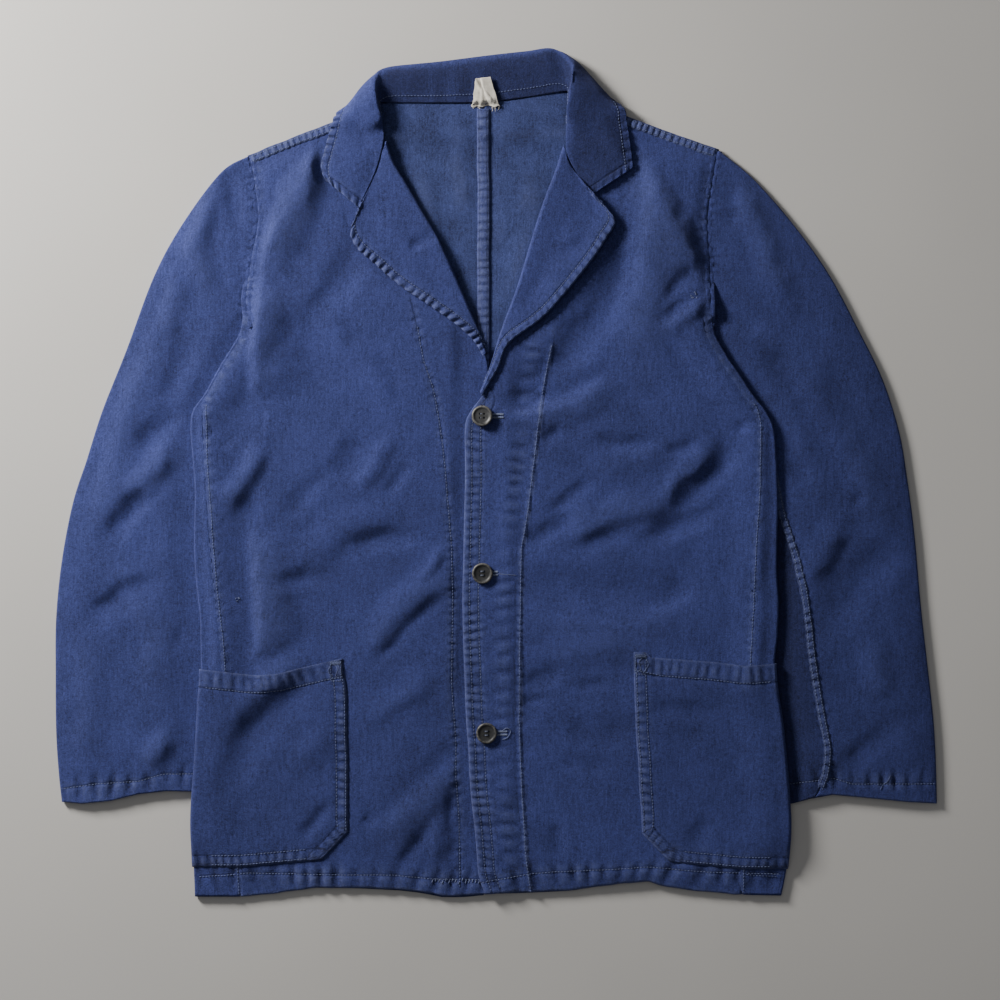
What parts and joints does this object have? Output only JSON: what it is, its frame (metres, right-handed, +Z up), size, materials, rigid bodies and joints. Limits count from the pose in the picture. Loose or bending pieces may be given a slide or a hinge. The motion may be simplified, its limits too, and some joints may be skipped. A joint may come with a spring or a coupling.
{
  "type": "chore coat",
  "caption": "Cotton chore coat laid flat on its back and buttoned, with a notched collar, lapels, long sleeves and patch pockets.",
  "frame": {"origin": "under the middle of the coat's outline, on the plane that its underside rests on", "axes": "+X towards the wearer's left, +Y from the hem to the collar, +Z up from the floor out of the coat's front"},
  "size_m": [0.8477, 0.815, 0.0175],
  "materials": {
    "back_right": "washed cotton drill",
    "back_left": "washed cotton drill",
    "back_seam": "washed cotton drill",
    "front_right": "washed cotton drill",
    "front_left": "washed cotton drill",
    "lapel_right": "washed cotton drill",
    "lapel_left": "washed cotton drill",
    "collar": "washed cotton drill",
    "sleeve_right_top": "washed cotton drill",
    "sleeve_right_under": "washed cotton drill",
    "sleeve_left_top": "washed cotton drill",
    "sleeve_left_under": "washed cotton drill",
    "pocket_right": "washed cotton drill",
    "pocket_left": "washed cotton drill",
    "button_1": "worn dark plastic",
    "button_2": "worn dark plastic",
    "button_3": "worn dark plastic",
    "label_stub": "white cotton tape, soiled"
  },
  "bodies": {
    "root": {"back_right": "back_right", "back_left": "back_left", "back_seam": "back_seam", "front_right": "front_right", "front_left": "front_left", "lapel_right": "lapel_right", "lapel_left": "lapel_left", "collar": "collar", "sleeve_right_top": "sleeve_right_top", "sleeve_right_under": "sleeve_right_under", "sleeve_left_top": "sleeve_left_top", "sleeve_left_under": "sleeve_left_under", "pocket_right": "pocket_right", "pocket_left": "pocket_left", "button_1": "button_1", "button_2": "button_2", "button_3": "button_3", "label_stub": "label_stub"}
  },
  "joints": []
}
